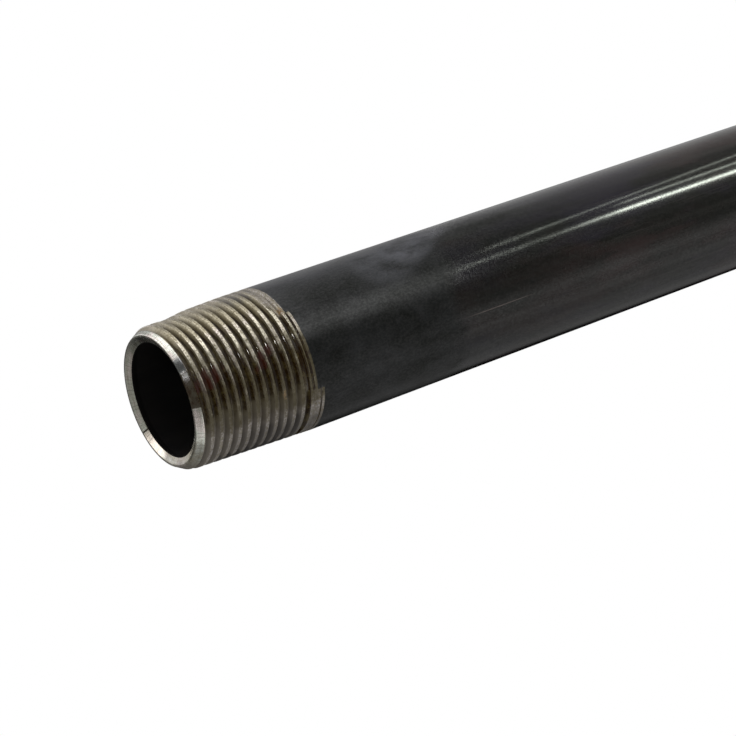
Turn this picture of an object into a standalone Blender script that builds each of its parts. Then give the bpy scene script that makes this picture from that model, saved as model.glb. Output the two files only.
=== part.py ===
"""Black steel pipe, 1 inch nominal size, 12 inches long, with a taper thread cut on both ends.

The pipe stands on one end. Its axis is +Z and the origin is the centre of the lower end face. One threaded end is
made as a mesh in its own frame, with the end face at z = 0 and depth measured along +Z into the pipe. A copy turned
end for end makes the upper end, which keeps its thread right-handed. The two are then bridged into one tube.
"""

import math

import bmesh
import bpy
from mathutils import Matrix

# The pipe blank, in metres
PIPE_LENGTH = 0.3048
OUTSIDE_DIAMETER = 0.0334
WALL = 0.00338

# The cut end: a burr turned in by the cutter, a shallow cone reamed into it, a flat ring, and an outer chamfer
BURR_HEIGHT = 0.00068
BURR_LENGTH = 0.0018
REAM_DEPTH = 0.0008
END_FLAT = 0.0005
CHAMFER_HEIGHT = 0.0012
CHAMFER_ANGLE = math.radians(30.0)

# The taper thread: 11.5 turns to the inch, 1 in 16 on the diameter, a 60 degree groove with flats at crest and root
THREAD_PITCH = 0.0254 / 11.5
THREAD_TAPER = 1 / 16
GROOVE_ANGLE = math.radians(60.0)
CREST_FLAT = 0.00078
ROOT_FLAT = 0.00008
CREST_INSET = 0.00097
FULL_THREAD_LENGTH = 0.026
RUNOUT_LENGTH = 0.0034
THREAD_START_ANGLE = math.radians(137.0)

# Facets round the pipe, and the shortest edge along it
COLUMNS = 48
SHORTEST_STEP = 0.00004

# The finish
SCALE_BLACK = (0.035, 0.034, 0.036, 1.0)
SCALE_ROUGHNESS = 0.38
SCALE_METALLIC = 0.6
SMOOTH_BELOW = math.radians(25.0)

OUTSIDE_RADIUS = OUTSIDE_DIAMETER / 2
BORE_RADIUS = OUTSIDE_RADIUS - WALL
CREST_RADIUS_AT_FACE = OUTSIDE_RADIUS - CREST_INSET
FACE_OUTER_RADIUS = CREST_RADIUS_AT_FACE - CHAMFER_HEIGHT
FACE_INNER_RADIUS = FACE_OUTER_RADIUS - END_FLAT
MOUTH_RADIUS = BORE_RADIUS - BURR_HEIGHT
THREAD_END = FULL_THREAD_LENGTH + RUNOUT_LENGTH
FLANK_SLOPE = 1 / math.tan(GROOVE_ANGLE / 2)
GROOVE_DEPTH = (THREAD_PITCH - CREST_FLAT - ROOT_FLAT) / 2 * FLANK_SLOPE
POINTS_PER_TURN = 4
SPARE_TURNS = 3


def line_at(line, depth):
    """Radius on a straight line, given as its radius at the face and its slope, at a depth into the pipe."""
    return line[0] + line[1] * depth


def crest_line(depth):
    """The line that the crests follow: the taper, then the steeper one on which the groove runs out."""
    taper = (CREST_RADIUS_AT_FACE, THREAD_TAPER / 2)
    if depth <= FULL_THREAD_LENGTH:
        return taper
    start = line_at(taper, FULL_THREAD_LENGTH)
    slope = (OUTSIDE_RADIUS + GROOVE_DEPTH - start) / RUNOUT_LENGTH
    return start - slope * FULL_THREAD_LENGTH, slope


def blank_lines(depth):
    """The lines that bound the metal before the groove is cut: the pipe, its chamfer and the crests."""
    return (OUTSIDE_RADIUS, 0.0), (FACE_OUTER_RADIUS, math.tan(CHAMFER_ANGLE)), crest_line(depth)


def blank_radius(depth):
    return min(line_at(line, depth) for line in blank_lines(depth))


def groove_points(centre):
    """The groove's section at a depth: lip, root edge, root edge and lip, each as (depth, radius)."""
    root = line_at(crest_line(centre), centre) - GROOVE_DEPTH
    points = []
    for side in (-1, 1):
        edge = centre + side * ROOT_FLAT / 2
        climbs = [(line_at(line, edge) - root) / (FLANK_SLOPE - side * line[1]) for line in blank_lines(centre)]
        lip = edge + side * max(min(climbs), SHORTEST_STEP)
        pair = [(lip, blank_radius(lip)), (edge, min(root, blank_radius(edge)))]
        points += pair if side < 0 else pair[::-1]
    return points


def radius_between(low, high, depth):
    """Radius at a depth between two (depth, radius) points."""
    share = (depth - low[0]) / (high[0] - low[0])
    return low[1] + share * (high[1] - low[1])


def thread_column(angle, turns):
    """Every (depth, radius) point of the thread at one angle, from the face to the end of the runout.

    All columns hold the same number of points. A point that falls outside the thread is moved to its near end.
    """
    first = THREAD_PITCH * (angle - THREAD_START_ANGLE) / (2 * math.pi)
    points = [p for turn in turns for p in groove_points(first + turn * THREAD_PITCH)]
    before = max(i for i, p in enumerate(points) if p[0] < SHORTEST_STEP)
    face = (0.0, radius_between(points[before], points[before + 1], 0.0))
    end = (THREAD_END, OUTSIDE_RADIUS)
    last = THREAD_END - SHORTEST_STEP
    return [face if p[0] < SHORTEST_STEP else end if p[0] > last else p for p in points]


def turned(radius, angle, depth):
    return radius * math.cos(angle), radius * math.sin(angle), depth


def add_thread(mesh):
    """The helical surface of the thread. Returns the ring of vertices where it meets the end face."""
    turns = range(-SPARE_TURNS, math.ceil(THREAD_END / THREAD_PITCH) + SPARE_TURNS)
    columns = []
    for number in range(COLUMNS):
        angle = 2 * math.pi * number / COLUMNS
        made = {}
        for depth, radius in thread_column(angle, turns):
            if (depth, radius) not in made:
                made[depth, radius] = mesh.verts.new(turned(radius, angle, depth))
        columns.append([made[point] for point in thread_column(angle, turns)])
    # One turn on, a column meets the first again, one groove further along
    columns.append(columns[0][POINTS_PER_TURN:] + [columns[0][-1]] * POINTS_PER_TURN)
    for here, there in zip(columns, columns[1:]):
        for low in range(len(here) - 1):
            corners = list(dict.fromkeys((here[low], there[low], there[low + 1], here[low + 1])))
            if len(corners) > 2:
                mesh.faces.new(corners)
    return [column[0] for column in columns[:-1]]


def add_ring(mesh, radius, depth):
    angles = [2 * math.pi * number / COLUMNS for number in range(COLUMNS)]
    return [mesh.verts.new(turned(radius, angle, depth)) for angle in angles]


def skin(mesh, first, second):
    """Quads between two rings whose vertices stand at the same angles."""
    for i in range(COLUMNS):
        j = (i + 1) % COLUMNS
        mesh.faces.new((first[i], first[j], second[j], second[i]))


def add_threaded_end(mesh):
    """Thread, chamfer, flat ring, reamed cone and burr of one end. Its open rings are the pipe's and the bore's."""
    face_ring = add_thread(mesh)
    inner_ring = add_ring(mesh, FACE_INNER_RADIUS, 0.0)
    mouth_ring = add_ring(mesh, MOUTH_RADIUS, REAM_DEPTH)
    bore_ring = add_ring(mesh, BORE_RADIUS, REAM_DEPTH + BURR_LENGTH)
    skin(mesh, face_ring, inner_ring)
    skin(mesh, inner_ring, mouth_ring)
    skin(mesh, mouth_ring, bore_ring)


def turn_end_for_end(mesh):
    """Adds a copy of the lower end, turned over about the X axis to stand at the top of the pipe."""
    copy = bmesh.ops.duplicate(mesh, geom=mesh.verts[:] + mesh.edges[:] + mesh.faces[:])
    moved = [item for item in copy["geom"] if isinstance(item, bmesh.types.BMVert)]
    to_top = Matrix.Translation((0.0, 0.0, PIPE_LENGTH)) @ Matrix.Rotation(math.pi, 4, "X")
    bmesh.ops.transform(mesh, matrix=to_top, verts=moved)


def open_ring(mesh, on_outside):
    """The edges of both ends' open rings, on the outside of the pipe or on its bore."""
    split = (OUTSIDE_RADIUS + BORE_RADIUS) / 2
    edges = [edge for edge in mesh.edges if edge.is_boundary]
    return [edge for edge in edges if (edge.verts[0].co.xy.length > split) == on_outside]


def make_pipe():
    mesh = bmesh.new()
    add_threaded_end(mesh)
    turn_end_for_end(mesh)
    for on_outside in (True, False):
        bmesh.ops.bridge_loops(mesh, edges=open_ring(mesh, on_outside))
    bmesh.ops.recalc_face_normals(mesh, faces=mesh.faces[:])
    data = bpy.data.meshes.new("pipe")
    mesh.to_mesh(data)
    mesh.free()
    data.shade_smooth()
    data.set_sharp_from_angle(angle=SMOOTH_BELOW)
    return data


def black_scale():
    """The dark, lacquered mill scale that covers the pipe."""
    material = bpy.data.materials.new("black_scale")
    material.use_nodes = True
    shader = material.node_tree.nodes["Principled BSDF"]
    shader.inputs["Base Color"].default_value = SCALE_BLACK
    shader.inputs["Roughness"].default_value = SCALE_ROUGHNESS
    shader.inputs["Metallic"].default_value = SCALE_METALLIC
    return material


def main():
    for old in list(bpy.data.objects):
        bpy.data.objects.remove(old)
    pipe = bpy.data.objects.new("pipe", make_pipe())
    pipe.data.materials.append(black_scale())
    bpy.context.scene.collection.objects.link(pipe)


main()
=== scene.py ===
import math

import bpy
import numpy as np
from bpy.props import FloatProperty, FloatVectorProperty, IntProperty, PointerProperty
from mathutils import Matrix, Vector


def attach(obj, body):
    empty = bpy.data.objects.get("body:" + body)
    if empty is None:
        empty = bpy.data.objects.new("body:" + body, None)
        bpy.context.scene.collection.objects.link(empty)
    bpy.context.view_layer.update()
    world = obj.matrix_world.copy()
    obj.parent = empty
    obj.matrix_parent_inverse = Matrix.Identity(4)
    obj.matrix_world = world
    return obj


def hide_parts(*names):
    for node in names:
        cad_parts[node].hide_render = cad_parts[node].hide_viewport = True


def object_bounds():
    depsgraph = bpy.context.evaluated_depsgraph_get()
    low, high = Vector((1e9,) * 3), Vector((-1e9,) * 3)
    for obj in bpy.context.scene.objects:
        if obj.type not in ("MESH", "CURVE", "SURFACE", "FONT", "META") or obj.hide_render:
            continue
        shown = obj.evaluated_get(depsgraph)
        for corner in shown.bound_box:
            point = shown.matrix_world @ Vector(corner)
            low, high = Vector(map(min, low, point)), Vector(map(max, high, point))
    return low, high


# Black steel pipe with a taper thread cut on both ends.
# Everything is in metres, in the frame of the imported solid: the pipe stands on one end, its axis along +Z.

bl_info = {
    "name": "Threaded Steel Pipe",
    "version": (1, 0, 0),
    "blender": (4, 5, 0),
    "location": "3D View > Sidebar > Steel Pipe",
    "description": "Makes a lacquered steel pipe with cut taper threads, and a pale studio round it",
    "category": "Add Mesh",
}

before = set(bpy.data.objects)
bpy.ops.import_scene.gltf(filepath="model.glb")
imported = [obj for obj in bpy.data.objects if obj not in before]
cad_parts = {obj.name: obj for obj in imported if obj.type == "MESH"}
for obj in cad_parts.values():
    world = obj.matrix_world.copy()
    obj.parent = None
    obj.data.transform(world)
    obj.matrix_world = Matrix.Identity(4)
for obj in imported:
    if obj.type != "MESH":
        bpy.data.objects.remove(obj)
SOLID_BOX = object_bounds()
PIPE_LENGTH = SOLID_BOX[1].z - SOLID_BOX[0].z
# Less than the solid's diameter by a hair, so that rounding never puts a point outside its box
HAIR = 1e-7
PIPE_DIAMETER = SOLID_BOX[1].x - SOLID_BOX[0].x - HAIR
MERGE = 1e-6


# Sizes and colours that a user would change


def length_setting(name, description, default, precision=2):
    words = {"name": name, "description": description}
    return FloatProperty(**words, default=default, unit="LENGTH", precision=precision)


def angle_setting(name, description, degrees):
    return FloatProperty(name=name, description=description, default=math.radians(degrees), subtype="ANGLE")


def colour_setting(name, description, default):
    return FloatVectorProperty(name=name, description=description, default=default, subtype="COLOR", size=3)


class PipeSizes(bpy.types.PropertyGroup):
    """The plain pipe and its cut ends."""

    length: length_setting("Length", "From end face to end face", PIPE_LENGTH)
    outside_diameter: length_setting("Outside diameter", "Across the lacquered pipe", PIPE_DIAMETER)
    wall: length_setting("Wall", "Thickness of the pipe's wall", 0.00338)
    burr_height: length_setting("Burr height", "How far the cutter's burr narrows the bore's mouth", 0.00068)
    burr_length: length_setting("Burr length", "How far the burr reaches into the bore", 0.0018)
    ream_depth: length_setting("Ream depth", "How far the reamed cone dips from the end face", 0.0008)
    end_flat: length_setting("End flat", "Width of the flat ring on the end", 0.0005)
    chamfer_height: length_setting("Chamfer height", "How far the chamfer lies inside the crests", 0.0012)
    chamfer_angle: angle_setting("Chamfer angle", "Between the chamfer and the pipe's axis", 30)
    columns: IntProperty(name="Columns", description="Facets round the pipe", default=132, min=24, max=240)


class ThreadSizes(bpy.types.PropertyGroup):
    """The taper thread."""

    pitch: length_setting("Pitch", "Along the axis from groove to groove", 0.0254 / 11.5, 5)
    taper: FloatProperty(name="Taper", description="Growth of the diameter along the axis", default=1 / 16)
    groove_angle: angle_setting("Groove angle", "Between the groove's two flanks", 60)
    crest_flat: length_setting("Crest flat", "Width of the land between two grooves", 0.00078, 5)
    root_flat: length_setting("Root flat", "Width of the groove's bottom", 0.00008, 5)
    crest_inset: length_setting("Crest inset", "From the pipe's surface to the first crest", 0.00097, 5)
    start_angle: angle_setting("Start angle", "Where the groove leaves the end face", 137)
    crest_softness: length_setting("Crest softness", "Rounding of the crests' edges", 0.00004, 6)
    root_softness: length_setting("Root softness", "Rounding of the oil that lies in the grooves", 0.00024, 6)
    oil_depth: length_setting("Oil depth", "How deep the oil stands in the oily side's grooves", 0.00022, 6)


class FinishColours(bpy.types.PropertyGroup):
    """Colours and gloss of the lacquer and of the cut steel."""

    lacquer: colour_setting("Lacquer", "The black lacquer over mill scale", (0.0092, 0.0092, 0.0083))
    lacquer_brown: colour_setting("Brown scale", "Showing through the lacquer", (0.0215, 0.0150, 0.0145))
    lacquer_violet: colour_setting("Blue scale", "Showing through the lacquer", (0.0150, 0.0130, 0.0190))
    handled_lacquer: colour_setting("Handled lacquer", "Dulled beside the threads", (0.0062, 0.0067, 0.0060))
    smudge: colour_setting("Smudge", "Grey-blue dried fluid on the lacquer", (0.062, 0.063, 0.072))
    steel: colour_setting("Cut steel", "Crests of the thread", (0.93, 0.87, 0.72))
    face_steel: colour_setting("Face steel", "End face and chamfer", (0.68, 0.70, 0.64))
    olive_steel: colour_setting("Olive film", "Steel under a thin film of old oil", (0.485, 0.442, 0.332))
    pink_steel: colour_setting("Pink film", "Steel with a faint pink film", (0.86, 0.77, 0.74))
    grey_steel: colour_setting("Grey film", "Steel under grey-violet grime", (0.215, 0.196, 0.190))
    oil_film: colour_setting("Oil film", "Brown oil smeared over the crests", (0.050, 0.038, 0.011))
    cutting_oil: colour_setting("Cutting oil", "Dark brown oil in the grooves", (0.0180, 0.0088, 0.0020))
    red_oil: colour_setting("Red oil", "Red-brown oil in the grooves", (0.040, 0.0105, 0.0055))
    olive_oil: colour_setting("Olive oil", "Thin oil over the metal in the grooves", (0.080, 0.062, 0.022))
    dry_groove: colour_setting("Dry groove", "Grooves with little oil in them", (0.175, 0.150, 0.100))
    rust: colour_setting("Rust", "Dried brown spots at the thread's end", (0.085, 0.045, 0.012))
    gloss: FloatProperty(name="Roughness", description="Away from the ends", default=0.13, min=0.02, max=1)
    handled: FloatProperty(name="Dull roughness", description="By the threads", default=0.29, min=0.02, max=1)


class StudioSetup(bpy.types.PropertyGroup):
    """The camera and the floor."""

    azimuth: angle_setting("Camera azimuth", "Round the pipe from -Y", 1.148066)
    elevation: angle_setting("Camera elevation", "Above the horizon", 30.096176)
    roll: angle_setting("Camera roll", "About the line of sight", -110.116447)
    distance: length_setting("Camera distance", "From the aim", 0.488549, 6)
    aim: FloatVectorProperty(
        name="Aim", description="What the camera looks at", default=(-0.008446, -0.000104, 0.254666),
        subtype="TRANSLATION", size=3, precision=6,
    )
    lens: FloatProperty(name="Lens", description="Focal length in millimetres", default=108.54)
    floor: colour_setting("Floor", "The pale floor", (0.80, 0.80, 0.80))


def settings(name):
    return getattr(bpy.context.scene, name)


# Helpers for modelling


def deselect_all():
    bpy.ops.object.select_all(action="DESELECT")


def activate(piece):
    deselect_all()
    piece.select_set(True)
    bpy.context.view_layer.objects.active = piece


def edit(piece):
    activate(piece)
    bpy.ops.object.mode_set(mode="EDIT")
    bpy.ops.mesh.select_mode(type="VERT")
    bpy.ops.mesh.select_all(action="SELECT")


def leave_edit():
    bpy.ops.object.mode_set(mode="OBJECT")


def drawn_line(name, points):
    """A chain of edges through the points, drawn by extruding one vertex."""
    deselect_all()
    bpy.ops.mesh.primitive_plane_add(size=0.001, location=(0, 0, 0))
    piece = bpy.context.active_object
    piece.name = piece.data.name = name
    edit(piece)
    bpy.ops.mesh.merge(type="CENTER")
    bpy.ops.transform.translate(value=points[0])
    for here, there in zip(points, points[1:]):
        step = Vector(there) - Vector(here)
        bpy.ops.mesh.extrude_vertices_move(TRANSFORM_OT_translate={"value": step})
    leave_edit()
    return piece


def coordinates(piece):
    found = np.empty(len(piece.data.vertices) * 3)
    piece.data.vertices.foreach_get("co", found)
    return found.reshape(-1, 3)


def put_coordinates(piece, places):
    piece.data.vertices.foreach_set("co", places.astype(np.float32).ravel())
    piece.data.update()


def lowest(first, second, softness):
    """The lower of two surfaces, blended over a softness."""
    blend = np.maximum(softness - np.abs(first - second), 0) / softness
    return np.minimum(first, second) - blend * blend * softness / 4


def highest(first, second, softness):
    return -lowest(-first, -second, softness)


def step_up(value, low, high):
    """0 below low, 1 above high, and smooth between them."""
    share = np.clip((value - low) / (high - low), 0, 1)
    return share * share * (3 - 2 * share)


def between(value, low, low_full, high_full, high):
    """1 from low_full to high_full, and down to 0 at low and at high."""
    return step_up(value, low, low_full) * (1 - step_up(value, high_full, high))


# The threaded end, in its own frame: the end face at z = 0, and depth along +Z into the pipe

# How far the finely modelled end reaches, and how far behind the end face it begins
THREAD_ZONE = 0.0318
EDGE = 0.00004
# Where the points of one groove lie, in pitches from its bottom
GROOVE_POINTS = (
    0, 0.035, 0.075, 0.12, 0.16, 0.20, 0.24, 0.28, 0.312, 0.334, 0.362,
    0.43, 0.50, 0.57, 0.638, 0.666, 0.688, 0.76, 0.82, 0.88, 0.93, 0.965,
)
# Where the groove and the bare metal stop, for each of the die's cutters: from which angle round the end,
# the last groove's depth along the pipe, how far it is filled, the bare metal's depth, and a last shallow
# groove's depth, half width and height. Where it has no height there is no such groove
CUTTER_MARKS = (
    (-1, 0.02620, 0.45, 0.02725, 0.0500, 0.00030, 0.0),
    (59, 0.02650, 0.55, 0.02850, 0.02762, 0.00030, 0.00045),
    (122, 0.02690, 0.25, 0.03050, 0.02975, 0.00024, 0.00030),
    (182, 0.02730, 0.4, 0.03000, 0.02880, 0.00030, 0.00030),
    (242, 0.02560, 0.3, 0.02880, 0.02790, 0.00030, 0.00035),
    (300, 0.02580, 0.0, 0.02770, 0.0500, 0.00030, 0.0),
)
# The last groove lies beyond this depth
LAST_GROOVE = 0.0252
# The fine lines that the cutters combed into the metal beyond the last groove
COMB_PITCH = 0.00092
COMB_HEIGHT = 0.00007
# How far the thread stands off the pipe's axis on its upper side, and the depths where it begins and is full
LEAN = 0.00031
LEAN_DEPTHS = (0.0083, 0.0128)
# The bead of oil on a flank: where it starts and ends up the flank, as shares of it, and its slope
BEAD_FOOT = 0.36
BEAD_TOP = 0.76
BEAD_SLOPE = 0.577
# Dents in the crests: depth, angle, size and how deep they go
NICKS = (
    (0.0071, 1, 0.0016, 0.00020),
    (0.01225, 34, 0.00045, 0.00030),
    (0.01250, 47, 0.00040, 0.00018),
    (0.02520, 49, 0.00045, 0.00022),
    (0.00780, 22, 0.00040, 0.00020),
    (0.02100, 118, 0.00040, 0.00018),
    (0.01650, 205, 0.00050, 0.00025),
    (0.00560, 262, 0.00045, 0.00022),
    (0.02330, 310, 0.00045, 0.00022),
)
# Dried spots: degrees from the oily side's middle, depth, half sizes in degrees and in depth, and strength
RUST_SPOTS = (
    (-34, 0.0268, 4, 0.0008, 1.0),
    (27, 0.0208, 5, 0.0006, 0.7),
    (-170, 0.0235, 6, 0.0009, 0.7),
)
# How many radians to the metre the finest unevenness has
FINE = (900, 4000)


def cutter_marks(turned):
    """The numbers of the cutter that left its marks at each angle, in degrees from -1 to 359, by kind."""
    rows = np.array(CUTTER_MARKS)
    which = np.clip(np.searchsorted(rows[:, 0], turned, side="right") - 1, 0, len(rows) - 1)
    return rows[which].T


def waver(angle, depth, seed, turns=(1, 9), steps=(150, 900)):
    """A seeded unevenness from -1 to 1: how many waves round the pipe, and radians to the metre along it."""
    rng = np.random.default_rng(seed)
    total = 0
    for _ in range(6):
        round_by, along, phase = rng.integers(*turns), rng.uniform(*steps), rng.uniform(0, 6.28)
        total = total + np.sin(round_by * angle + along * depth + phase)
    return total / 6


def face_radius():
    """Where the chamfer meets the end face."""
    size = settings("pipe_sizes")
    return size.outside_diameter / 2 - settings("thread_sizes").crest_inset - size.chamfer_height


def degrees_from_oily_side(angle):
    return (np.degrees(angle) + 90) % 360 - 180


def with_nicks(radius, depth, angle, crest):
    """The surface with a dent for each of the nicks, which spare the grooves."""
    for nick_depth, nick_angle, nick_size, nick_height in NICKS:
        round_by = (np.degrees(angle) - nick_angle + 180) % 360 - 180
        away = np.hypot(depth - nick_depth, np.radians(round_by) * crest * 0.8)
        radius = radius - nick_height * np.exp(-(away / nick_size) ** 2) * (radius > crest - 0.0005)
    return radius


def thread_radius(depth, angle):
    """(radius, how deep in a groove from 0 to 1, how bare from 0 to 1) at each depth and angle of the end."""
    size, thread = settings("pipe_sizes"), settings("thread_sizes")
    outside = size.outside_diameter / 2
    crest_at_face = outside - thread.crest_inset
    slope = 1 / math.tan(thread.groove_angle / 2)
    groove_height = (thread.pitch - thread.crest_flat - thread.root_flat) / 2 * slope
    turned = (np.degrees(angle) + 1) % 360 - 1
    begins, last_depth, filled, bare_depth, shallow_depth, shallow_half, shallow_height = cutter_marks(turned)
    into = np.radians(turned - begins)
    drift = thread.pitch / (2 * math.pi) * into
    ragged = waver(angle, depth * 0, 3) + waver(angle, depth * 0, 8, (24, 60))
    bare_end = bare_depth + drift * 0.8 + 0.00007 * ragged
    side = degrees_from_oily_side(angle)
    lean = LEAN * step_up(depth, *LEAN_DEPTHS) * np.maximum(-np.sin(np.radians(side)), 0)
    crest = crest_at_face + thread.taper / 2 * depth + lean
    chamfer = crest_at_face - size.chamfer_height + math.tan(size.chamfer_angle) * depth
    scraped = step_up(bare_end - depth, -0.00006, 0.00006)
    skin = np.minimum(crest, outside) * scraped + outside * (1 - scraped)
    scored = 0.000012 * waver(angle, depth, 5) + 0.000016 * waver(angle, depth, 6, (20, 50), FINE)
    skin = skin + scored * scraped
    combed = 0.5 - 0.5 * np.cos(2 * math.pi * (depth - drift) / COMB_PITCH)
    skin = skin - COMB_HEIGHT * combed * scraped * step_up(depth, last_depth + 0.0002, last_depth + 0.0006)
    blank = lowest(np.minimum(skin, outside), chamfer, thread.crest_softness)
    # The main groove, and the oil that stands in it
    turn = depth / thread.pitch - (angle - thread.start_angle) / (2 * math.pi)
    uneven = 0.045 * waver(angle, depth, 11) + 0.050 * waver(angle, depth, 12, (18, 60), FINE)
    aside = np.abs(turn - np.round(turn)) * thread.pitch * (1 + uneven)
    centre = depth - (turn - np.round(turn)) * thread.pitch
    root = crest - groove_height
    flank = root + np.maximum(aside - thread.root_flat / 2, 0) * slope
    pool = thread.oil_depth * between(side, -40, -20, 12, 44) * (1 + 0.12 * waver(angle, depth, 14))
    flank = highest(flank, root + 0.00005 + pool, thread.root_softness)
    # A bead of oil on the flank that faces the end, with a gentler slope than the flank
    outer_edge = (thread.pitch - thread.crest_flat) / 2
    bead = root + groove_height * BEAD_TOP + (aside - outer_edge * BEAD_TOP) * BEAD_SLOPE
    on_flank = (depth > centre) & (aside > outer_edge * BEAD_FOOT)
    flank = np.where(on_flank, flank + between(side, -21, -18, -6, -3) * np.maximum(bead - flank, 0), flank)
    fill = filled * step_up(into, 0.1, 0.6) * (centre > LAST_GROOVE)
    flank = np.maximum(flank, root + groove_height * fill)
    groove = np.where(centre < last_depth, flank, outside + 1)
    # The last shallow groove
    off = depth - (shallow_depth + drift)
    across = np.clip(off / shallow_half, -1, 1)
    shallow = crest - shallow_height * (1 - across * across) ** 1.5
    groove = np.where(np.abs(off) < shallow_half, np.minimum(groove, shallow), groove)
    radius = with_nicks(lowest(blank, groove, thread.crest_softness), depth, angle, crest)
    sunk = np.clip((blank - radius) / groove_height, 0, 1)
    return np.minimum(radius, outside), sunk, scraped


def keep_values(piece, name, values):
    kept = piece.data.attributes.get(name) or piece.data.attributes.new(name, "FLOAT", "POINT")
    kept.data.foreach_set("value", np.asarray(values, np.float32))


def kept_values(piece, name):
    found = np.empty(len(piece.data.vertices), np.float32)
    piece.data.attributes[name].data.foreach_get("value", found)
    return found


def rust_spots(side, depth):
    rust = 0
    for at_side, at_depth, half_angle, half_depth, strength in RUST_SPOTS:
        away = ((side - at_side) / half_angle) ** 2 + ((depth - at_depth) / half_depth) ** 2
        rust = np.maximum(rust, strength * np.exp(-away))
    return rust


def grime_dirt_and_shade(side, ragged, depth, sunk):
    """Grime on the lower side, some above, and dirt below, more of it away from the end, with painted shade
    as a dark band along the lower silhouette.
    """
    above = (0.42 + 0.22 * step_up(depth, 0.016, 0.022)) * between(ragged, -130, -100, -76, -48)
    last = 0.80 * between(side, -100, -86, -46, -38) * step_up(depth, 0.0238, 0.0250)
    grime = np.maximum(np.maximum(between(ragged, 20, 46, 100, 150), above), last)
    dirt_and_shade = 0.8 * between(ragged, 38, 62, 110, 130) * step_up(depth, 0.0040, 0.0190)
    # Painted shade: a dark band along the thread's lower silhouette, kept with the dirt
    dirt_and_shade = np.maximum(dirt_and_shade, between(side, 72, 77, 100, 115) * between(depth, 0.0050, 0.0090, 0.0240, 0.0270))
    above = between(side, -100, -84, -66, -52) * step_up(depth, 0.0170, 0.0210)
    return grime, np.maximum(dirt_and_shade, 0.8 * above * step_up(sunk, -0.1, 0.45))


def film_of_oil(side, ragged, depth, phase):
    """Oil smeared over the crests, worn off at their edges, and beyond the last groove."""
    worn_edge = between(phase, 0.600, 0.650, 0.700, 0.740) * between(side, -16, -4, 1, 8)
    film = between(ragged, -46, 8, 30, 52) * (1 - 0.62 * worn_edge)
    film = np.maximum(film, 0.6 * between(ragged, -44, -36, -22, -14) * step_up(depth, 0.0272, 0.0276))
    return np.maximum(film, between(side, -30, -12, 26, 34) * between(depth, 0.0248, 0.0256, 0.0268, 0.0276))


def mark_stains_and_painted_light(half):
    """Keeps, at each point of a cut end, how much oil, grime and film lies there, which metal is bare, and
    where shade, a highlight and a darker reflection are painted.
    """
    size, thread = settings("pipe_sizes"), settings("thread_sizes")
    places = coordinates(half)
    radius = np.hypot(places[:, 0], places[:, 1])
    depth = places[:, 2]
    angle = np.arctan2(places[:, 1], places[:, 0])
    sunk = kept_values(half, "groove_depth")
    side = degrees_from_oily_side(angle)
    ragged = side + (5 * waver(angle, depth, 21) + 4 * waver(angle, depth, 22, (8, 30), FINE))
    far_side = np.abs(side) > 100
    patchy = step_up(waver(angle, depth, 23), -0.3, 0.5)
    # Oil creeps onto the crests' outer half
    phase = (depth / thread.pitch - (angle - thread.start_angle) / (2 * math.pi)) % 1
    creeping = between(phase, 0.28, 0.32, 0.42, 0.50) * between(ragged, -16, -2, 14, 26) * (depth > 0.003)
    sunk = np.maximum(sunk, 0.05 * creeping * (sunk < 0.05))
    # Oil fills the grooves on one side, lies only in their bottoms above that, and thins out below
    shore = 0.40 * step_up(-ragged, 6, 20) + 0.60 * step_up(-ragged, 16, 66)
    oil = between(ragged, -88, -76, 4, 46) * step_up(sunk, shore - 0.22, shore + 0.02)
    oil = np.where(far_side, 0.65 * patchy, np.maximum(oil, 0.10))
    # The last grooves are darkened with the oil's colour, but for a worn part above
    worn_part = between(side, -76, -70, -34, -28) * step_up(depth, 0.0257, 0.0260)
    sunk = sunk * (1 - 0.85 * worn_part)
    last = (1 - worn_part) * step_up(depth, 0.0264, 0.0268) * step_up(sunk, 0.01, 0.05)
    below = 0.20 * between(side, 30, 36, 88, 92) * step_up(depth, 0.0238, 0.0244) * step_up(sunk, 0.03, 0.10)
    oil = np.maximum(np.maximum(oil * (1 - worn_part), last), below)
    red = 0.90 * between(ragged, -15, -9, 1, 8) * step_up(waver(angle, depth, 24, (1, 14)), -0.3, 0.4)
    grime, dirt_and_shade = grime_dirt_and_shade(side, ragged, depth, sunk)
    grime = np.where(far_side, np.maximum(grime, 0.5 * (1 - patchy)), grime)
    # The end face and the chamfer: a wet brown stain that stops short, and above it a smooth part whose
    # darker grey-blue mirrored look is painted
    outer = face_radius()
    on_face = (depth < size.chamfer_height / math.tan(size.chamfer_angle) + 0.00002) & (sunk < 0.03)
    stain = between(side + 1.2 * waver(angle, depth, 25), -17, -14, 14.2, 14.8)
    notch = between(side, 156, 158, 159, 161) * (radius < outer - size.end_flat)
    bare = kept_values(half, "bare_steel")
    bare[(radius < outer + 0.00005) & (depth < size.ream_depth + 0.00001)] = 1
    olive = np.where(far_side, patchy, between(ragged, -82, -64, -50, -28)) * ~on_face
    grime = np.where(on_face, 0.55 * between(side, 66, 88, 119, 125), grime)
    kept = {
        "groove_depth": sunk,
        "bare_steel": bare,
        "on_face": on_face,
        "oil": oil * ~on_face,
        "red_oil": red * ~on_face,
        "oil_film": film_of_oil(side, ragged, depth, phase) * ~on_face,
        "olive_film": np.maximum(olive, 0.5 * between(side, 40, 60, 90, 140) * on_face),
        "grime": np.maximum(grime, 0.55 * worn_part),
        "dirt_and_shade": dirt_and_shade,
        "rust": rust_spots(side, depth),
        # A tan tint with a painted highlight on one sector of the end face
        "face_tan_highlight": between(side, 124, 129, 155, 157) * on_face,
        "face_stain": np.maximum(stain, 0.8 * notch) * on_face,
        # Painted darker reflection on the smooth part of the chamfer
        "face_painted_reflection": between(side, -29, -26.5, -16, -13) * on_face,
        "face_wet": between(side, -29, -26, 14.2, 14.8) * on_face,
    }
    for name, values in kept.items():
        keep_values(half, name, values)


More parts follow.
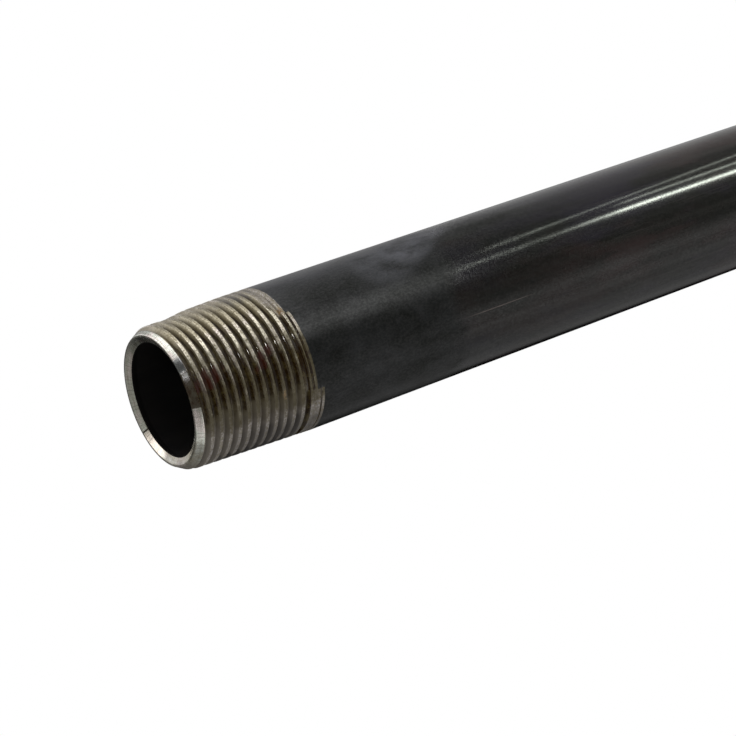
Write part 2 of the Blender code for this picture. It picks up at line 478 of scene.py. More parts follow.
def cut_thread(piece):
    """Moves the helical sheet's points onto the cut end."""
    places = coordinates(piece)
    angle = np.arctan2(places[:, 1], places[:, 0])
    radius, sunk, bare = thread_radius(places[:, 2], angle)
    put_coordinates(piece, np.stack([radius * np.cos(angle), radius * np.sin(angle), places[:, 2]], 1))
    keep_values(piece, "groove_depth", sunk)
    keep_values(piece, "bare_steel", bare)


def helical_sheet():
    """One groove's profile screwed along the pipe, cut off at the face and at the end of the thread."""
    size, thread = settings("pipe_sizes"), settings("thread_sizes")
    radius = size.outside_diameter / 2 - 0.001
    before = 3
    start = -thread.start_angle / (2 * math.pi) - before
    turns = math.ceil(THREAD_ZONE / thread.pitch) + before + 1
    line = [(radius, 0, (start + phase) * thread.pitch) for phase in (*GROOVE_POINTS, 1)]
    sheet = drawn_line("threaded_end", line)
    screw = sheet.modifiers.new("helix", "SCREW")
    screw.axis = "Z"
    screw.steps = screw.render_steps = size.columns
    screw.iterations = turns
    screw.screw_offset = thread.pitch
    screw.use_smooth_shade = True
    activate(sheet)
    bpy.ops.object.modifier_apply(modifier="helix")
    edit(sheet)
    bpy.ops.mesh.remove_doubles(threshold=MERGE)
    cut = {"plane_no": (0, 0, 1), "threshold": MERGE / 10}
    bpy.ops.mesh.bisect(plane_co=(0, 0, EDGE), clear_inner=True, **cut)
    bpy.ops.mesh.select_all(action="SELECT")
    bpy.ops.mesh.bisect(plane_co=(0, 0, THREAD_ZONE), clear_outer=True, **cut)
    leave_edit()
    cut_thread(sheet)
    return sheet


def turned_ring(name, line):
    """A line spun once round the pipe's axis."""
    piece = drawn_line(name, line)
    edit(piece)
    columns = settings("pipe_sizes").columns
    bpy.ops.mesh.spin(steps=columns, angle=2 * math.pi, center=(0, 0, 0), axis=(0, 0, 1))
    bpy.ops.mesh.select_all(action="SELECT")
    bpy.ops.mesh.remove_doubles(threshold=MERGE)
    leave_edit()
    return piece


def body_line():
    """From the end of the thread along the outside to the pipe's middle."""
    size = settings("pipe_sizes")
    outside = size.outside_diameter / 2
    first, last = THREAD_ZONE + 0.0004, size.length / 2
    return [(outside, 0, first + (last - first) * i / 12) for i in range(13)]


def mouth_line():
    """From the flat ring over the reamed cone and the burr, and along the bore to the pipe's middle."""
    size = settings("pipe_sizes")
    outer = face_radius()
    inner = outer - size.end_flat
    bore = size.outside_diameter / 2 - size.wall
    mouth = bore - size.burr_height
    dip = size.ream_depth
    back = dip + size.burr_length
    line = [(outer - 0.00002, 0, 0.00001), (outer - 0.00007, 0, 0)]
    line += [(inner + 0.00007, 0, 0), (inner, 0, 0.00001)]
    for share in (0.06, 0.35, 0.65, 0.94):
        line.append((inner + (mouth - inner) * share, 0, dip * share))
    line += [(mouth + 0.00002, 0, dip - 0.00001), (mouth, 0, dip + 0.00006)]
    for share in (0.12, 0.3, 0.5, 0.7, 0.88, 1.0):
        eased = share * share * (3 - 2 * share)
        line.append((mouth + (bore - mouth) * eased, 0, dip + 0.00006 + (back - dip) * share))
    start = line[-1][2]
    line += [(bore, 0, start + (size.length / 2 - start) * i / 10) for i in range(1, 11)]
    return line


def join(pieces):
    activate(pieces[0])
    for piece in pieces[1:]:
        piece.select_set(True)
    bpy.ops.object.join()
    return pieces[0]


def bridge(piece, places_of_rings):
    """Bridges the open rings that pass through the given (radius, z) places."""
    edit(piece)
    bpy.ops.mesh.select_all(action="DESELECT")
    leave_edit()
    mesh = piece.data
    uses = np.zeros(len(mesh.edges), int)
    for polygon in mesh.polygons:
        for loop in polygon.loop_indices:
            uses[mesh.loops[loop].edge_index] += 1
    where = coordinates(piece)
    radius = np.hypot(where[:, 0], where[:, 1])
    near = np.zeros(len(where), bool)
    for ring_radius, ring_z in places_of_rings:
        near |= (np.abs(radius - ring_radius) < 0.00003) & (np.abs(where[:, 2] - ring_z) < 0.000005)
    for edge in mesh.edges:
        edge.select = uses[edge.index] == 1 and near[edge.vertices[0]] and near[edge.vertices[1]]
    bpy.ops.object.mode_set(mode="EDIT")
    bpy.ops.mesh.select_mode(type="EDGE")
    bpy.ops.mesh.bridge_edge_loops()
    leave_edit()


def half_pipe():
    """The lower half of the pipe, with its threaded end."""
    size = settings("pipe_sizes")
    sheet = helical_sheet()
    body, mouth = body_line(), mouth_line()
    half = join([sheet, turned_ring("body", body), turned_ring("mouth", mouth)])
    outside, sheet_start = size.outside_diameter / 2, face_radius() + math.tan(size.chamfer_angle) * EDGE
    bridge(half, [(sheet_start, EDGE), (mouth[0][0], mouth[0][2])])
    bridge(half, [(outside, THREAD_ZONE), (outside, body[0][2])])
    mark_stains_and_painted_light(half)
    return half


def whole_pipe():
    """Two halves, the second turned end for end, joined at the pipe's middle."""
    half = half_pipe()
    activate(half)
    bpy.ops.object.duplicate()
    other = bpy.context.active_object
    middle = (0, 0, settings("pipe_sizes").length / 2)
    bpy.ops.transform.rotate(value=math.pi, orient_axis="X", center_override=middle)
    bpy.ops.object.transform_apply(location=True, rotation=True, scale=True)
    pipe = join([half, other])
    pipe.name = pipe.data.name = "threaded_pipe"
    edit(pipe)
    bpy.ops.mesh.remove_doubles(threshold=MERGE)
    bpy.ops.mesh.normals_make_consistent(inside=False)
    bpy.ops.mesh.faces_shade_smooth()
    leave_edit()
    return pipe


# Materials

# What shows in the lacquer
STREAKS = (0.027, 0.026, 0.024)
HAIRLINES = (0.036, 0.034, 0.031)
DARK_NEAR_END = (0.0030, 0.0040, 0.0030)
DULLED = (0.0150, 0.0155, 0.0160)
# Bluish dust with painted light, lightening the upper side of the dull lacquer
DUST_AND_PAINTED_LIGHT = (0.046, 0.046, 0.053)
SCRATCH = (0.095, 0.078, 0.070)
GRAIN = (0.030, 0.030, 0.028)
# What shows on the crests
GRIME_BLOTS = (0.080, 0.074, 0.070)
GRIME_GAPS = (0.52, 0.49, 0.47)
TOOL_RINGS = (0.27, 0.235, 0.17)
BLOTS = (0.22, 0.195, 0.12)
# Dirt, also laid on the painted shade along the thread's lower silhouette
DIRT_AND_SHADE = (0.075, 0.069, 0.066)
# Painted shade for the dark band along the thread's lower silhouette
SILHOUETTE_SHADE = (0.022, 0.021, 0.021)
DARK_SPECKS = (0.16, 0.13, 0.085)
RED_SMEAR = (0.026, 0.0125, 0.0050)
# What shows on the end face, in the grooves and in the dried spots
PINK_FACE = (0.78, 0.70, 0.68)
# Tan tint and painted highlight for one sector of the end face
TAN_FACE_HIGHLIGHT = (0.98, 0.88, 0.78)
CHATTER = (0.20, 0.20, 0.18)
# Painted darker reflection, grey-blue, on the smooth part of the chamfer
SMOOTH_FACE_REFLECTION = (0.23, 0.24, 0.25)
THIN_STAIN = (0.040, 0.034, 0.022)
# Dirt in the grooves, also laid on the painted shade along the lower silhouette
GROOVE_DIRT_AND_SHADE = (0.060, 0.055, 0.052)
LIGHT_RUST = (0.24, 0.155, 0.065)
# The bore's scale
BORE_DARK = (0.0035, 0.0032, 0.0032)
BORE_LIGHT = (0.008, 0.0068, 0.006)


def new_material(name):
    material = bpy.data.materials.new(name)
    material.use_nodes = True
    return material, material.node_tree, material.node_tree.nodes["Principled BSDF"]


def maths(operation, *values):
    """One maths node, or a chain of them for more than two values, in the tree of their sockets."""
    tree = next(value.id_data for value in values if isinstance(value, bpy.types.NodeSocket))
    first, *others = values
    for other in others or (None,):
        made = tree.nodes.new("ShaderNodeMath")
        made.operation = operation
        for slot, value in enumerate((first, other)):
            if isinstance(value, bpy.types.NodeSocket):
                tree.links.new(value, made.inputs[slot])
            elif value is not None:
                made.inputs[slot].default_value = value
        first = made.outputs[0]
    return first


def times(*values):
    return maths("MULTIPLY", *values)


def plus(*values):
    return maths("ADD", *values)


def minus(first, second):
    return maths("SUBTRACT", first, second)


def most(*values):
    return maths("MAXIMUM", *values)


def ranged(value, low, high, to_low=0.0, to_high=1.0, kind="LINEAR"):
    """A value that goes from to_low at low to to_high at high, and no further."""
    tree = value.id_data
    made = tree.nodes.new("ShaderNodeMapRange")
    made.interpolation_type = kind
    for name, number in (("From Min", low), ("From Max", high), ("To Min", to_low), ("To Max", to_high)):
        made.inputs[name].default_value = number
    tree.links.new(value, made.inputs["Value"])
    return made.outputs["Result"]


def eased(value, low, high, to_low=0.0, to_high=1.0):
    return ranged(value, low, high, to_low, to_high, "SMOOTHSTEP")


def by_angle(angle, low, high, to_low=0.0, to_high=1.0, kind="LINEAR"):
    """As ranged, between two angles in degrees."""
    return ranged(angle, math.radians(low), math.radians(high), to_low, to_high, kind)


def mixed(share, first, second):
    """Two colours mixed by a share. A colour is a socket, three numbers, or one number for a grey."""
    tree = share.id_data
    made = tree.nodes.new("ShaderNodeMix")
    made.data_type = "RGBA"
    sockets = [s for s in made.inputs if s.enabled]
    for socket, value in zip(sockets, (share, first, second)):
        if isinstance(value, bpy.types.NodeSocket):
            tree.links.new(value, socket)
        elif isinstance(value, (int, float)):
            socket.default_value = (value, value, value, 1)
        else:
            socket.default_value = (*value, 1)
    return next(s for s in made.outputs if s.enabled)


def layered(colour, *layers):
    """A colour with others laid over it, each of them given as (share, colour)."""
    for share, other in layers:
        colour = mixed(share, colour, other)
    return colour


def stretched(source, scale, detail, roughness, location=(0, 0, 0)):
    """Noise on coordinates scaled by three factors."""
    tree = source.id_data
    mapping = tree.nodes.new("ShaderNodeMapping")
    mapping.inputs["Scale"].default_value = scale
    mapping.inputs["Location"].default_value = location
    tree.links.new(source, mapping.inputs["Vector"])
    noise = tree.nodes.new("ShaderNodeTexNoise")
    for name, number in (("Scale", 1.0), ("Detail", detail), ("Roughness", roughness)):
        noise.inputs[name].default_value = number
    tree.links.new(mapping.outputs["Vector"], noise.inputs["Vector"])
    return noise.outputs["Fac"]


def attribute(tree, name):
    made = tree.nodes.new("ShaderNodeAttribute")
    made.attribute_name = name
    return made.outputs["Fac"]


def split(vector):
    tree = vector.id_data
    apart = tree.nodes.new("ShaderNodeSeparateXYZ")
    tree.links.new(vector, apart.inputs[0])
    return apart.outputs


def object_place(tree):
    return tree.nodes.new("ShaderNodeTexCoord").outputs["Object"]


def frayed(value, noise, depth, low, high):
    """A mask with an edge that a noise frays."""
    return eased(plus(value, ranged(noise, 0.25, 0.75, -depth, depth)), low, high)


def spot(angle, height, noise, at_angle, at_height, half_angle, half_height):
    """A patch with frayed edges at a place on the pipe: angles in degrees, heights in metres."""
    across = maths("DIVIDE", plus(angle, -math.radians(at_angle)), math.radians(half_angle))
    along = maths("DIVIDE", plus(height, -at_height), half_height)
    away = maths("SQRT", plus(times(across, across), times(along, along)))
    return eased(plus(away, ranged(noise, 0.25, 0.75, -0.45, 0.45)), 0.55, 1.2, 1.0, 0.0)


def smudges(angle, height, clouds):
    return most(
        spot(angle, height, clouds, -35, 0.2422, 21, 0.0080),
        spot(angle, height, clouds, -22, 0.2350, 14, 0.0078),
        times(spot(angle, height, clouds, -42, 0.2495, 26, 0.0080), 0.62),
    )


def lacquer_mirrors(angle, height, from_end, glossy, grain, clouds, streaks, orange):
    """How strongly the lacquer mirrors: less where it is dulled, and mottled."""
    dull_patch = spot(angle, height, clouds, -27, 0.2215, 17, 0.0105)
    mirrors = ranged(glossy, 0.0, 1.0, 0.26, 0.50)
    mirrors = times(mirrors, ranged(dull_patch, 0.0, 1.0, 1.0, 0.55))
    mottled = times(
        ranged(grain, 0.38, 0.62, 0.72, 1.28),
        ranged(clouds, 0.36, 0.64, 0.88, 1.12),
        ranged(streaks, 0.36, 0.64, 0.84, 1.16),
    )
    # Near the threads the gloss breaks up into specks
    broken = times(glossy, eased(from_end, 0.078, 0.112, 1.0, 0.0), by_angle(angle, -90, -78, 0.2, 1.0))
    specks = mixed(broken, 1, ranged(orange, 0.40, 0.58, 0.25, 2.0))
    return times(mirrors, times(mottled, specks))


def lacquer_nodes(place, angle, height):
    """(colour, roughness, relief, specular level) of the lacquered body."""
    look = settings("finish_colours")
    half = settings("pipe_sizes").length / 2
    from_end = minus(half, maths("ABSOLUTE", minus(height, half)))
    streaks = stretched(place, (420, 420, 9), detail=5, roughness=0.6)
    hairs = stretched(place, (1900, 1900, 26), detail=3, roughness=0.6, location=(4, 9, 1))
    grain = stretched(place, (2300, 2300, 1600), detail=3, roughness=0.75)
    clouds = stretched(place, (170, 170, 110), detail=6, roughness=0.7, location=(2, 6, 4))
    brown = stretched(place, (75, 75, 22), detail=6, roughness=0.62, location=(3, 1, 2))
    violet = stretched(place, (60, 60, 18), detail=5, roughness=0.6, location=(8, 5, 7))
    colour = layered(
        look.lacquer,
        (eased(brown, 0.46, 0.62), look.lacquer_brown),
        (eased(violet, 0.50, 0.64, 0.0, 0.85), look.lacquer_violet),
        (ranged(streaks, 0.42, 0.70, 0.0, 0.40), STREAKS),
        (ranged(hairs, 0.55, 0.78, 0.0, 0.45), HAIRLINES),
        (eased(from_end, 0.085, 0.120, 0.50, 0.0), DARK_NEAR_END),
    )
    # Beside the threads the lacquer is dulled, up to a frayed edge
    upper = times(by_angle(angle, -78, -52), by_angle(angle, 30, 80, 1.0, 0.0))
    glossy = minus(from_end, times(upper, 0.0034))
    glossy = frayed(glossy, clouds, 0.0026, 0.0652, 0.0706)
    dull = mixed(ranged(clouds, 0.40, 0.66), look.handled_lacquer, DULLED)
    colour = mixed(glossy, dull, colour)
    # Bluish dust and painted light that lighten the upper side beside the threads, and a grey-blue smudge in
    # it
    dust_and_painted_light = times(minus(1.0, glossy), by_angle(angle, -52, -14, kind="SMOOTHSTEP"))
    dust_and_painted_light = times(dust_and_painted_light, by_angle(angle, 60, 120, 0.62, 0.0))
    smudge = smudges(angle, height, clouds)
    scratch = spot(angle, height, hairs, -108.4, 0.2262, 0.45, 0.0105)
    colour = layered(
        colour,
        # Painted light, with some dust, on the upper side
        (times(dust_and_painted_light, ranged(clouds, 0.34, 0.62, 0.6, 1.0)), DUST_AND_PAINTED_LIGHT),
        (times(smudge, ranged(clouds, 0.36, 0.62, 0.15, 1.0)), look.smudge),
        (times(scratch, 0.65), SCRATCH),
        (ranged(grain, 0.46, 0.70, 0.0, 0.34), GRAIN),
    )
    rough = mixed(glossy, look.handled, eased(from_end, 0.070, 0.100, 0.135, look.gloss))
    rough = mixed(times(smudge, 0.5), rough, 0.55)
    # Orange peel, stronger towards the threads
    peel = eased(from_end, 0.076, 0.118, 1.30, 0.14)
    orange = stretched(place, (3000, 3000, 2400), detail=2, roughness=0.6, location=(3, 5, 8))
    relief = plus(times(orange, times(peel, glossy)), times(streaks, 0.30))
    relief = plus(relief, times(grain, ranged(glossy, 0.0, 1.0, 0.90, 0.10)))
    mirrors = lacquer_mirrors(angle, height, from_end, glossy, grain, clouds, streaks, orange)
    return colour, rough, relief, mirrors


def crest_nodes(tree, noises, grime, dirt_and_shade, film, red):
    """The colour of the cut metal outside the grooves, the end face too."""
    look = settings("finish_colours")
    speck, blots, rings, stains, tints = noises
    on_face = attribute(tree, "on_face")
    steel = mixed(ranged(tints, 0.36, 0.52), look.pink_steel, look.steel)
    face = mixed(ranged(tints, 0.50, 0.62), look.face_steel, PINK_FACE)
    blotted = ranged(on_face, 0.0, 1.0, 1.0, 0.4)
    specked = ranged(on_face, 0.0, 1.0, 1.0, 0.35)
    smeared = mixed(frayed(red, stains, 0.50, 0.30, 0.80), look.oil_film, RED_SMEAR)
    return layered(
        mixed(on_face, steel, face),
        (frayed(attribute(tree, "olive_film"), stains, 0.30, 0.15, 0.75), look.olive_steel),
        (frayed(grime, tints, 0.25, 0.10, 0.90), look.grey_steel),
        (times(grime, ranged(blots, 0.50, 0.62, 0.0, 0.60)), GRIME_BLOTS),
        (times(grime, ranged(speck, 0.40, 0.50, 0.75, 0.0)), GRIME_GAPS),
        (ranged(rings, 0.42, 0.64, 0.0, 0.50), TOOL_RINGS),
        (times(ranged(blots, 0.50, 0.66, 0.0, 0.60), blotted), BLOTS),
        # Dirt, with painted shade along the lower silhouette
        (times(dirt_and_shade, ranged(stains, 0.36, 0.62, 1.25, 0.69)), DIRT_AND_SHADE),
        # Painted shade: the dark band along the lower silhouette
        (ranged(dirt_and_shade, 0.80, 1.0, 0.0, 0.85), SILHOUETTE_SHADE),
        # Painted highlight, tan, on one sector of the end face
        (attribute(tree, "face_tan_highlight"), TAN_FACE_HIGHLIGHT),
        (times(ranged(speck, 0.49, 0.60, 0.0, 0.78), specked), DARK_SPECKS),
        (times(film, 0.96), smeared),
    )


def face_nodes(tree, steel, angle, stains, face_stain):
    """Adds to the colour what only the end face has: chatter marks, a painted darker reflection on its smooth
    part and a wet brown stain.
    """
    chatter = tree.nodes.new("ShaderNodeTexNoise")
    chatter.noise_dimensions = "1D"
    chatter.inputs["Scale"].default_value = 34.0
    chatter.inputs["Detail"].default_value = 2.0
    tree.links.new(angle, chatter.inputs["W"])
    marks = ranged(chatter.outputs["Fac"], 0.58, 0.68, 0.0, 0.42)
    oil = settings("finish_colours").cutting_oil
    return layered(
        steel,
        (times(marks, attribute(tree, "on_face")), CHATTER),
        # Painted darker reflection on the smooth part
        (times(attribute(tree, "face_painted_reflection"), 0.85), SMOOTH_FACE_REFLECTION),
        (face_stain, mixed(ranged(stains, 0.42, 0.58), oil, THIN_STAIN)),
    )


def groove_nodes(tree, place, steel, stains, wet, grime, dirt_and_shade, film, red):
    """The colour in the grooves: brown oil, red-brown in places, and dry metal."""
    look = settings("finish_colours")
    clear = stretched(place, (520, 520, 900), detail=4, roughness=0.75, location=(6, 1, 9))
    thin = times(ranged(clear, 0.46, 0.68), 0.80)
    oily = mixed(thin, look.cutting_oil, look.olive_oil)
    oily = mixed(frayed(red, stains, 0.60, 0.45, 0.95), oily, look.red_oil)
    dry = mixed(grime, look.dry_groove, Vector(look.dry_groove).lerp(look.grey_steel, 0.55))
    flank = ranged(attribute(tree, "groove_depth"), 0.15, 0.62, 0.66, 0.0)
    return layered(
        dry,
        (times(attribute(tree, "olive_film"), flank), steel),
        (times(film, 0.6), look.oil_film),
        # Dirt, with painted shade along the lower silhouette
        (dirt_and_shade, GROOVE_DIRT_AND_SHADE),
        (wet, oily),
    )


def steel_nodes(tree, place, angle):
    """(colour, roughness, relief, metallic) of the cut ends."""
    oil, red, grime, dirt_and_shade = (attribute(tree, name) for name in ("oil", "red_oil", "grime", "dirt_and_shade"))
    groove_depth = attribute(tree, "groove_depth")
    groove = eased(groove_depth, 0.012, 0.060)
    speck = stretched(place, (2600, 2600, 2600), detail=3, roughness=0.8)
    blots = stretched(place, (1150, 1150, 1150), detail=3, roughness=0.7, location=(9, 4, 2))
    rings = stretched(place, (90, 90, 3600), detail=3, roughness=0.6)
    stains = stretched(place, (420, 420, 520), detail=5, roughness=0.7, location=(7, 2, 5))
    tints = stretched(place, (190, 190, 260), detail=5, roughness=0.65, location=(1, 8, 3))
    film = frayed(attribute(tree, "oil_film"), stains, 0.35, 0.02, 1.0)
    face_stain = frayed(attribute(tree, "face_stain"), stains, 0.12, 0.40, 0.60)
    wet = frayed(oil, stains, 0.28, 0.20, 0.75)
    steel = crest_nodes(tree, (speck, blots, rings, stains, tints), grime, dirt_and_shade, film, red)
    steel = face_nodes(tree, steel, angle, stains, face_stain)
    colour = mixed(groove, steel, groove_nodes(tree, place, steel, stains, wet, grime, dirt_and_shade, film, red))
    rust = frayed(attribute(tree, "rust"), speck, 0.55, 0.45, 0.75)
    rusty = mixed(ranged(speck, 0.46, 0.58), settings("finish_colours").rust, LIGHT_RUST)
    colour = mixed(rust, colour, rusty)
    wet_groove = times(groove, wet)
    rough = layered(
        0.30,
        (ranged(speck, 0.35, 0.65), 0.48),
        (attribute(tree, "on_face"), 0.26),
        (grime, 0.50),
        (film, 0.58),
        (most(wet_groove, attribute(tree, "face_wet")), 0.13),
        (eased(groove_depth, 0.42, 0.56), 0.45),
        (face_stain, 0.21),
    )
    oiled = most(times(wet_groove, 0.9), times(grime, 0.6), times(film, 0.8))
    metallic = minus(1.0, most(oiled, face_stain, rust))
    relief = plus(times(speck, 0.8), times(rings, 0.45))
    relief = times(relief, minus(1.0, times(wet_groove, 0.8)))
    return colour, rough, relief, metallic


def pipe_finish():
    """Black lacquer on the body, and bare cut steel with oil in its grooves on the ends."""
    material, tree, shader = new_material("lacquer_and_cut_steel")
    place = object_place(tree)
    x, y, height = split(place)
    angle = maths("ARCTAN2", y, x)
    lacquer, lacquer_rough, lacquer_relief, mirrors = lacquer_nodes(place, angle, height)
    steel, steel_rough, steel_relief, metallic = steel_nodes(tree, place, angle)
    edge = stretched(place, (1700, 1700, 1700), detail=3, roughness=0.7, location=(5, 5, 5))
    bare = frayed(attribute(tree, "bare_steel"), edge, 0.40, 0.44, 0.56)
    tree.links.new(mixed(bare, lacquer, steel), shader.inputs["Base Color"])
    tree.links.new(mixed(bare, lacquer_rough, steel_rough), shader.inputs["Roughness"])
    tree.links.new(times(bare, metallic), shader.inputs["Metallic"])
    tree.links.new(mixed(bare, mirrors, 0.5), shader.inputs["Specular IOR Level"])
    bump = tree.nodes.new("ShaderNodeBump")
    bump.inputs["Strength"].default_value = 1.0
    bump.inputs["Distance"].default_value = 0.000012
    tree.links.new(mixed(bare, lacquer_relief, steel_relief), bump.inputs["Height"])
    tree.links.new(bump.outputs["Normal"], shader.inputs["Normal"])
    return material


def bore_finish():
    """Dark mill scale inside the pipe."""
    material, tree, shader = new_material("bore_scale")
    scale = stretched(object_place(tree), (300, 300, 60), detail=5, roughness=0.65)
    colour = mixed(ranged(scale, 0.35, 0.7), BORE_DARK, BORE_LIGHT)
    tree.links.new(colour, shader.inputs["Base Color"])
    tree.links.new(ranged(scale, 0.3, 0.7, 0.72, 0.95), shader.inputs["Roughness"])
    shader.inputs["Specular IOR Level"].default_value = 0.15
    return material


def paint(pipe):
    """Gives the pipe its finish, and the bore's faces their own."""
    size = settings("pipe_sizes")
    pipe.data.materials.clear()
    pipe.data.materials.append(pipe_finish())
    pipe.data.materials.append(bore_finish())
    places = coordinates(pipe)
    radius = np.hypot(places[:, 0], places[:, 1])
    depth = np.minimum(places[:, 2], size.length - places[:, 2])
    bore = size.outside_diameter / 2 - size.wall + 0.0001
    first = size.ream_depth + 0.00002
    corners = [list(p.vertices) for p in pipe.data.polygons]
    inside = [max(radius[c]) < bore and max(depth[c]) > first for c in corners]
    pipe.data.polygons.foreach_set("material_index", np.array(inside, np.int32))
    pipe.data.update()


# Studio


def look_from(azimuth, elevation, roll, distance, aim):
    """Where the camera stands and how it is turned, as a matrix."""
    across, rise = math.cos(elevation), math.sin(elevation)
    back = Vector((math.sin(azimuth) * across, -math.cos(azimuth) * across, rise))
    level = Vector((math.cos(azimuth), math.sin(azimuth), 0))
    right = level * math.cos(roll) + back.cross(level) * math.sin(roll)
    turn = Matrix((right, back.cross(right), back)).transposed().to_4x4()
    return Matrix.Translation(Vector(aim) + back * distance) @ turn


# The light from above that the pipe mirrors, and the even light that falls on it
OVERHEAD = (0.30, 0.30, 0.28)
SOFT_LIGHT = 0.55
# What the pipe mirrors in each direction round it, from dark to white, by degrees from -Y towards +X
SURROUNDINGS = (
    (-180, 0.0), (-147, 0.0), (-140, 0.13), (-132, 0.22), (-125, 0.25), (-108, 0.28), (-75, 0.32),
    (-60, 0.41), (-40, 0.38), (-28, 0.24), (-18, 0.09), (-8, 0.02), (10, 0.02), (20, 0.10), (32, 0.08),
    (62, 0.07), (76, 0.12), (92, 0.20), (108, 0.26), (124, 0.41), (140, 0.46), (156, 0.50), (165, 0.27),
    (173, 0.03), (180, 0.0),
)


def surroundings(x, y):
    """A grey for each direction round the pipe."""
    tree = x.id_data
    share = ranged(maths("ARCTAN2", x, times(y, -1.0)), -math.pi, math.pi)
    ramp = tree.nodes.new("ShaderNodeValToRGB")
    ramp.color_ramp.interpolation = "EASE"
    stops = ramp.color_ramp.elements
    while len(stops) > 1:
        stops.remove(stops[-1])
    for number, (degrees, grey) in enumerate(SURROUNDINGS):
        at = (degrees + 180) / 360
        stop = stops[0] if number == 0 else stops.new(at)
        stop.position = at
        stop.color = (grey, grey, grey, 1)
    tree.links.new(share, ramp.inputs["Fac"])
    return ramp.outputs["Color"]


def shaders_mixed(share, first, second):
    tree = share.id_data
    made = tree.nodes.new("ShaderNodeMixShader")
    for slot, socket in enumerate((share, first, second)):
        tree.links.new(socket, made.inputs[slot])
    return made.outputs[0]


def floor_finish(pale):
    """Pale near the pipe and white further off. In what the pipe mirrors, it looks like the room."""
    material, tree, _ = new_material("pale_floor")
    tree.nodes.clear()
    x, y, _ = split(object_place(tree))
    away = maths("POWER", plus(times(x, x), times(y, y)), 0.5)
    far = most(eased(y, 0.05, 0.12), eased(away, 0.10, 0.24))
    ray = tree.nodes.new("ShaderNodeLightPath").outputs
    plain = tree.nodes.new("ShaderNodeBsdfDiffuse")
    plain.inputs["Color"].default_value = (*pale, 1)
    white = tree.nodes.new("ShaderNodeEmission")
    mirrored = tree.nodes.new("ShaderNodeEmission")
    tree.links.new(surroundings(x, y), mirrored.inputs["Color"])
    seen = shaders_mixed(times(ray["Is Camera Ray"], far), plain.outputs[0], white.outputs[0])
    both = shaders_mixed(ray["Is Glossy Ray"], seen, mirrored.outputs[0])
    tree.links.new(both, tree.nodes.new("ShaderNodeOutputMaterial").inputs[0])
    return material


def pale_world():
    """White for the camera, even for soft light, and the surroundings for what the pipe mirrors."""
    world = bpy.data.worlds.new("pale_room")
    bpy.context.scene.world = world
    world.use_nodes = True
    tree = world.node_tree
    tree.nodes.clear()
    x, y, z = split(tree.nodes.new("ShaderNodeTexCoord").outputs["Generated"])
    dim = mixed(eased(z, 0.25, 0.85), surroundings(x, y), OVERHEAD)
    ray = tree.nodes.new("ShaderNodeLightPath").outputs
    shown = mixed(ray["Is Camera Ray"], mixed(ray["Is Glossy Ray"], SOFT_LIGHT, dim), 1)
    back = tree.nodes.new("ShaderNodeBackground")
    tree.links.new(shown, back.inputs["Color"])
    tree.links.new(back.outputs[0], tree.nodes.new("ShaderNodeOutputWorld").inputs[0])


def hang(name, data, matrix):
    lamp = bpy.data.objects.new(name, data)
    lamp.matrix_world = matrix
    lamp.visible_camera = False
    bpy.context.scene.collection.objects.link(lamp)


def round_the_pipe(azimuth, away, height):
    turn = math.radians(azimuth)
    return math.sin(turn) * away, -math.cos(turn) * away, height


def softbox(name, away, foot, top, width, brightness, colour=(1, 1, 1)):
    """A rectangular lamp that faces the pipe's axis, with its foot and top as (azimuth, height)."""
    foot, top = (Vector(round_the_pipe(azimuth, away, height)) for azimuth, height in (foot, top))
    data = bpy.data.lights.new(name, "AREA")
    data.shape = "RECTANGLE"
    data.size, data.size_y = width, (top - foot).length
    data.energy = brightness * math.pi * data.size * data.size_y
    data.color = colour
    middle, up = (foot + top) / 2, (top - foot).normalized()
    back = Vector((middle.x, middle.y, 0))
    back = (back - up * back.dot(up)).normalized()
    hang(name, data, Matrix.Translation(middle) @ Matrix((up.cross(back), up, back)).transposed().to_4x4())


def small_lamp(name, place, aim, across, brightness):
    """A round lamp that the chamfer and the beads of oil mirror."""
    data = bpy.data.lights.new(name, "AREA")
    data.shape = "DISK"
    data.size = across
    data.energy = brightness * math.pi * math.pi * across * across / 4
    turn = (Vector(place) - Vector(aim)).to_track_quat("Z", "Y")
    hang(name, data, Matrix.Translation(place) @ turn.to_matrix().to_4x4())


# The tint of the thin lamps that the lacquer mirrors as lines
LINE_TINT = (0.93, 1.0, 0.88)
# Name, distance, foot and top as (azimuth, height), width, brightness, colour
LAMPS = (
    ("line_low", 0.125, (38.0, 0.010), (38.6, 0.104), 0.0076, 31.0, LINE_TINT),
    ("line_middle", 0.125, (38.6, 0.104), (37.6, 0.119), 0.006, 11.0, LINE_TINT),
    ("line_high", 0.125, (37.6, 0.119), (33.5, 0.195), 0.006, 2.8, LINE_TINT),
    ("upper_line", 0.125, (71.0, 0.012), (51.0, 0.150), 0.003, 5.5, LINE_TINT),
    ("second_line", 0.125, (53.2, 0.012), (50.5, 0.100), 0.004, 9.0, LINE_TINT),
    ("shoulder", 0.125, (31.0, 0.167), (31.0, 0.262), 0.062, 1.9),
    ("key_box", 0.35, (75.0, 0.098), (75.0, 0.490), 0.40, 1.65),
    ("fill_box", 0.35, (-65.0, 0.130), (-65.0, 0.450), 0.30, 0.8),
    ("top_box", 0.80, (138.0, 0.380), (138.0, 1.800), 0.70, 1.25),
    ("side_box", 0.60, (108.0, 0.320), (108.0, 0.450), 0.22, 0.9),
    ("flank_box", 0.80, (94.0, 0.700), (94.0, 1.500), 0.55, 0.70),
)
# Name, place, what it points at, size across and brightness
GLINT = ("oil_glint", (0.275, -0.612, 0.7105), (0.0, 0.0, 0.290), 0.070, 40.0)


# Operators


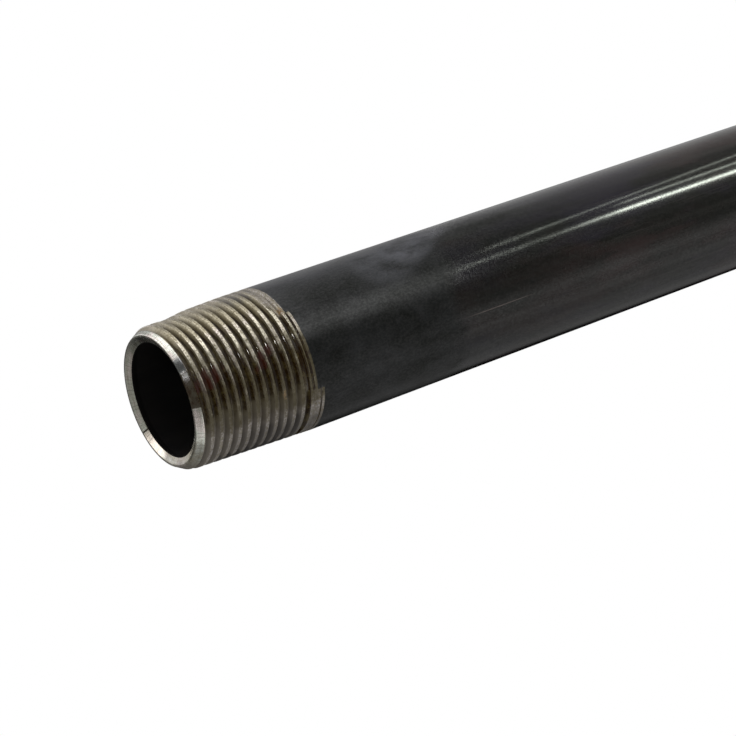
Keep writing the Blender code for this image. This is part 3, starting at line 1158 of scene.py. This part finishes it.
class PIPE_OT_make_pipe(bpy.types.Operator):
    """Model the pipe, cut its threads and give it its finish"""

    bl_idname = "steel_pipe.make_pipe"
    bl_label = "Make Threaded Pipe"
    bl_options = {"REGISTER", "UNDO"}

    def execute(self, context):
        pipe = whole_pipe()
        paint(pipe)
        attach(pipe, "root")
        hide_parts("pipe")
        return {"FINISHED"}


class PIPE_OT_make_stage(bpy.types.Operator):
    """Set the floor, the room, the lamps and the camera"""

    bl_idname = "steel_pipe.make_stage"
    bl_label = "Make Stage"
    bl_options = {"REGISTER", "UNDO"}

    def execute(self, context):
        setup = settings("studio_setup")
        deselect_all()
        bpy.ops.mesh.primitive_plane_add(size=6, location=(0, 0, 0))
        floor = context.active_object
        floor.name = floor.data.name = "studio_floor"
        floor.data.materials.append(floor_finish(setup.floor))
        pale_world()
        for lamp in LAMPS:
            softbox(*lamp)
        small_lamp(*GLINT)
        data = bpy.data.cameras.new("pipe_camera")
        data.lens = setup.lens
        data.clip_start = 0.01
        camera = bpy.data.objects.new("pipe_camera", data)
        camera.matrix_world = look_from(setup.azimuth, setup.elevation, setup.roll, setup.distance, setup.aim)
        context.scene.collection.objects.link(camera)
        context.scene.camera = camera
        context.scene.view_settings.view_transform = "Standard"
        return {"FINISHED"}


class PIPE_PT_panel(bpy.types.Panel):
    """Lists the pipe's sizes, colours and operators"""

    bl_idname = "PIPE_PT_panel"
    bl_label = "Threaded Steel Pipe"
    bl_space_type = "VIEW_3D"
    bl_region_type = "UI"
    bl_category = "Steel Pipe"

    def draw(self, context):
        layout = self.layout
        for name, kind in GROUPS:
            box = layout.box()
            box.label(text=name.replace("_", " ").capitalize())
            group = settings(name)
            for key in kind.__annotations__:
                box.prop(group, key)
        layout.operator(PIPE_OT_make_pipe.bl_idname)
        layout.operator(PIPE_OT_make_stage.bl_idname)


GROUPS = (
    ("pipe_sizes", PipeSizes),
    ("thread_sizes", ThreadSizes),
    ("finish_colours", FinishColours),
    ("studio_setup", StudioSetup),
)
CLASSES = (*(kind for name, kind in GROUPS), PIPE_OT_make_pipe, PIPE_OT_make_stage, PIPE_PT_panel)


def register():
    for kind in CLASSES:
        bpy.utils.register_class(kind)
    for name, kind in GROUPS:
        setattr(bpy.types.Scene, name, PointerProperty(type=kind))


def unregister():
    for name, kind in GROUPS:
        delattr(bpy.types.Scene, name)
    for kind in reversed(CLASSES):
        bpy.utils.unregister_class(kind)


def main():
    register()
    bpy.ops.steel_pipe.make_pipe()
    bpy.ops.steel_pipe.make_stage()


if __name__ == "__main__":
    main()
